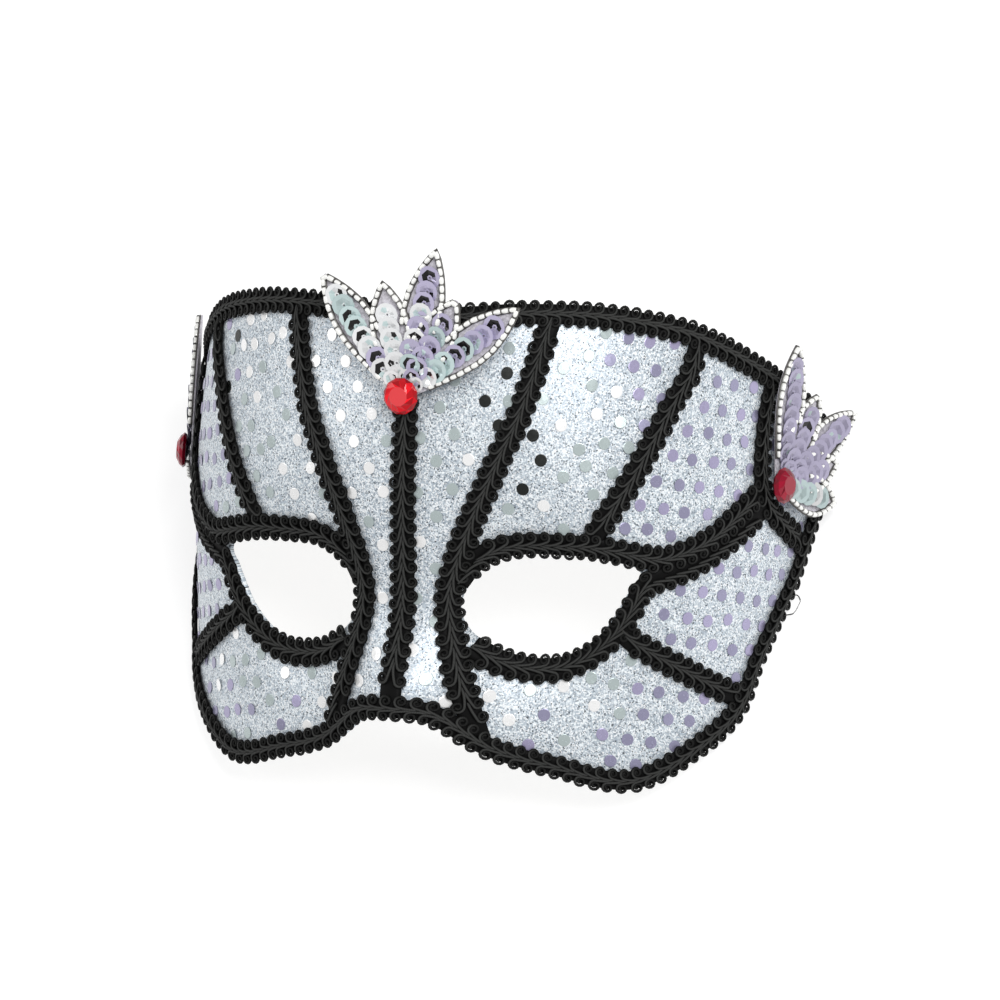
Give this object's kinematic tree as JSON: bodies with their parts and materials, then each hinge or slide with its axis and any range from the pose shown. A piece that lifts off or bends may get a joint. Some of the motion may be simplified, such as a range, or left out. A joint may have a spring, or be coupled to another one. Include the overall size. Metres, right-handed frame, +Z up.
{
  "type": "carnival half mask",
  "caption": "Rigid half mask that wraps to the temples, covered in silver cloth, ribbed and edged with black braid, with sequin fans and cut stones.",
  "frame": {"origin": "centre of the bounding box on the surface that the mask lies on", "axes": "+X to the wearer's left side, -Y and up the way the mask looks, +Z up from the surface that it lies on"},
  "size_m": [0.186, 0.1208, 0.1103],
  "materials": {
    "cloth": "pale silver glitter cloth with flat round spangles over a moulded shell",
    "braid": "black corded scroll braid",
    "sequins": "silver, white and lavender cupped sequins edged with clear beads",
    "stone": "polished red cut glass with a foil back"
  },
  "bodies": {
    "root": {"mask_shell": "cloth", "rim_braid": "braid", "centre_braid": "braid", "nose_braid_right": "braid", "nose_braid_left": "braid", "brow_braid_right": "braid", "brow_braid_left": "braid", "temple_braid_right": "braid", "temple_braid_left": "braid", "upper_eye_braid_right": "braid", "upper_eye_braid_left": "braid", "lower_eye_braid_right": "braid", "lower_eye_braid_left": "braid", "cheek_braid_right": "braid", "cheek_braid_left": "braid", "centre_fan": "sequins", "right_fan": "sequins", "left_fan": "sequins", "centre_stone": "stone", "right_stone": "stone", "left_stone": "stone"}
  },
  "joints": []
}
